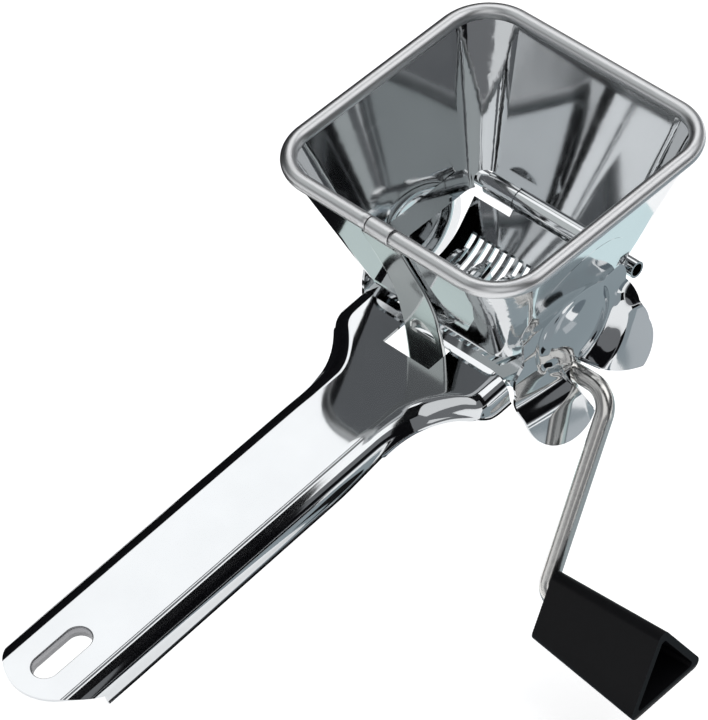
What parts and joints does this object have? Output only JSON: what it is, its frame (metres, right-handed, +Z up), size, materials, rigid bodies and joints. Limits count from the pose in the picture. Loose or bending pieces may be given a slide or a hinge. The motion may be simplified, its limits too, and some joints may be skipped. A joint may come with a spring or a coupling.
{
  "type": "rotary herb mill",
  "caption": "Hand-cranked rotary herb mill in polished sheet steel: square hopper over a slotted comb and claw rotor, channel handle with hang slot, bent crank and black three-sided knob.",
  "frame": {"origin": "middle of the hinge tube's axis behind the hopper", "axes": "+X along the hinge tube towards the crank side, -Y along the handle towards its grip end, +Z up out of the hopper mouth"},
  "size_m": [0.1283, 0.2149, 0.1146],
  "materials": {
    "polished_steel": "mirror polished stainless sheet",
    "rim_steel": "rolled rim, slightly softer polish",
    "rod_steel": "drawn wire, satin",
    "black_plastic": "fine satin"
  },
  "bodies": {
    "handle": {"handle_channel": "polished_steel", "comb_cradle": "polished_steel", "far_bush": "rod_steel", "crank_bush": "rod_steel", "hinge_tube": "polished_steel"},
    "hopper": {"hopper_shell": "polished_steel", "rim_roll": "rim_steel", "crank_cheek": "polished_steel", "far_cheek": "polished_steel"},
    "latch": {"latch_strap": "polished_steel"},
    "rotor": {"crank_rod": "rod_steel", "shaft_collar": "rod_steel", "shaft_clip": "rod_steel", "knob_clip": "rod_steel", "claw_01": "polished_steel", "claw_02": "polished_steel", "claw_03": "polished_steel", "claw_04": "polished_steel", "claw_05": "polished_steel", "claw_06": "polished_steel", "claw_07": "polished_steel", "claw_08": "polished_steel", "claw_09": "polished_steel", "claw_10": "polished_steel", "claw_11": "polished_steel", "claw_12": "polished_steel", "claw_13": "polished_steel", "claw_14": "polished_steel", "claw_15": "polished_steel"},
    "knob": {"knob": "black_plastic"}
  },
  "joints": [
    {"name": "hopper_swing", "type": "hinge", "parent": "handle", "child": "hopper", "pos_m": [0, 0, 0], "axis": [-1, 0, 0], "range_deg": [0, 80]},
    {"name": "crank_spin", "type": "hinge", "parent": "handle", "child": "rotor", "pos_m": [0, -0.0235, -0.0192], "axis": [1, 0, 0], "continuous": true},
    {"name": "knob_spin", "type": "hinge", "parent": "rotor", "child": "knob", "pos_m": [0, -0.05701, -0.06319], "axis": [1, 0, 0], "continuous": true},
    {"name": "latch_flex", "type": "hinge", "parent": "hopper", "child": "latch", "pos_m": [0, -0.06145, 0.03743], "axis": [-1, 0, 0], "range_deg": [0, 5], "stiffness_Nm_per_rad": 0.6}
  ]
}
